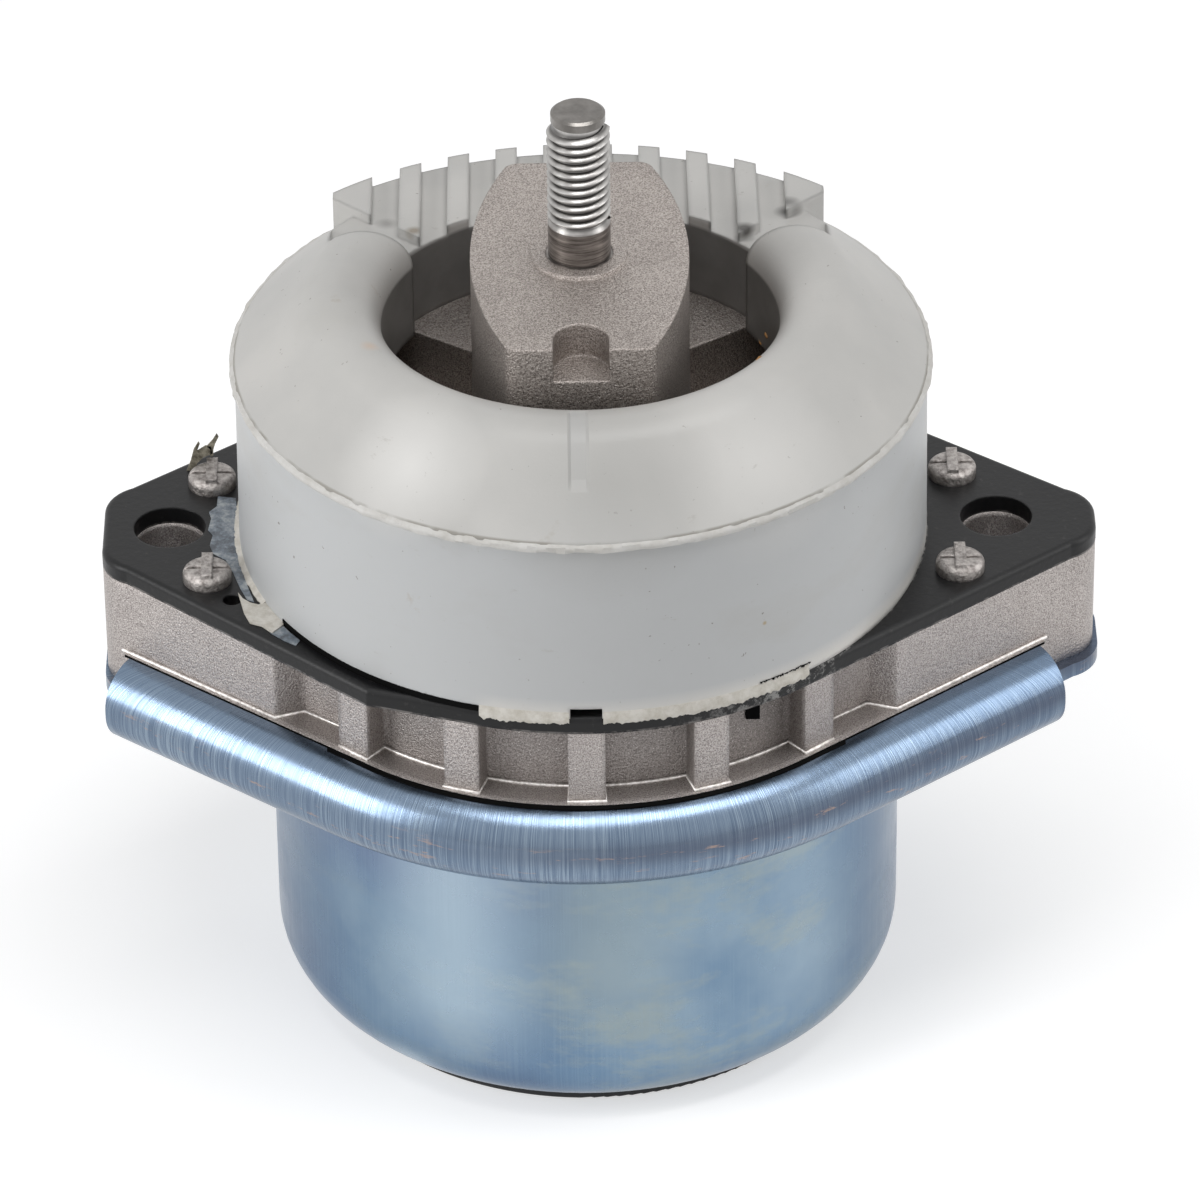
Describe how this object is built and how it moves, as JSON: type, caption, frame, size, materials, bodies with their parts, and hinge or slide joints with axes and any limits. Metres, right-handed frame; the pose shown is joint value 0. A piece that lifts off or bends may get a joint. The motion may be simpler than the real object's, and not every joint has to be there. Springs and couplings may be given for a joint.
{
  "type": "engine mount",
  "caption": "Hydraulic engine mount: threaded stud on a waisted core inside a grey silicone ring, flat cover plate on a ribbed casting with two bolt ears, and a deep round steel cup below.",
  "frame": {"origin": "on the stud's axis, at the underside of the base pad", "axes": "+Z along the stud, upwards; X through the two bolt ears; the core's notch faces -Y and the ribbed stop of the silicone ring faces +Y"},
  "size_m": [0.1607, 0.1224, 0.1606],
  "materials": {
    "pad_rubber": "matt moulded",
    "blue_zinc": "blue passivated zinc, lightly brushed",
    "cast_aluminium": "blasted casting",
    "black_coat": "semi-gloss black coat",
    "rivet_aluminium": "upset head, satin",
    "grey_silicone": "matt light grey silicone",
    "stud_steel": "bright zinc",
    "black_rubber": "matt",
    "inner_steel": "plain",
    "inner_aluminium": "die cast"
  },
  "bodies": {
    "root": {"base_pad": "pad_rubber", "lower_cup": "blue_zinc", "housing": "cast_aluminium", "cover_plate": "black_coat", "cover_rivet_left_rear": "rivet_aluminium", "cover_rivet_left_front": "rivet_aluminium", "cover_rivet_right_rear": "rivet_aluminium", "cover_rivet_right_front": "rivet_aluminium", "silicone_buffer": "grey_silicone", "core": "cast_aluminium", "top_stud": "stud_steel", "main_spring": "black_rubber", "spring_ring": "inner_steel", "upper_grid_plate": "inner_aluminium", "lower_grid_plate": "inner_aluminium", "channel_body": "inner_aluminium", "decoupler_membrane": "black_rubber", "bellows": "black_rubber", "bellows_ring": "inner_steel", "support_sleeve": "inner_steel"}
  },
  "joints": []
}
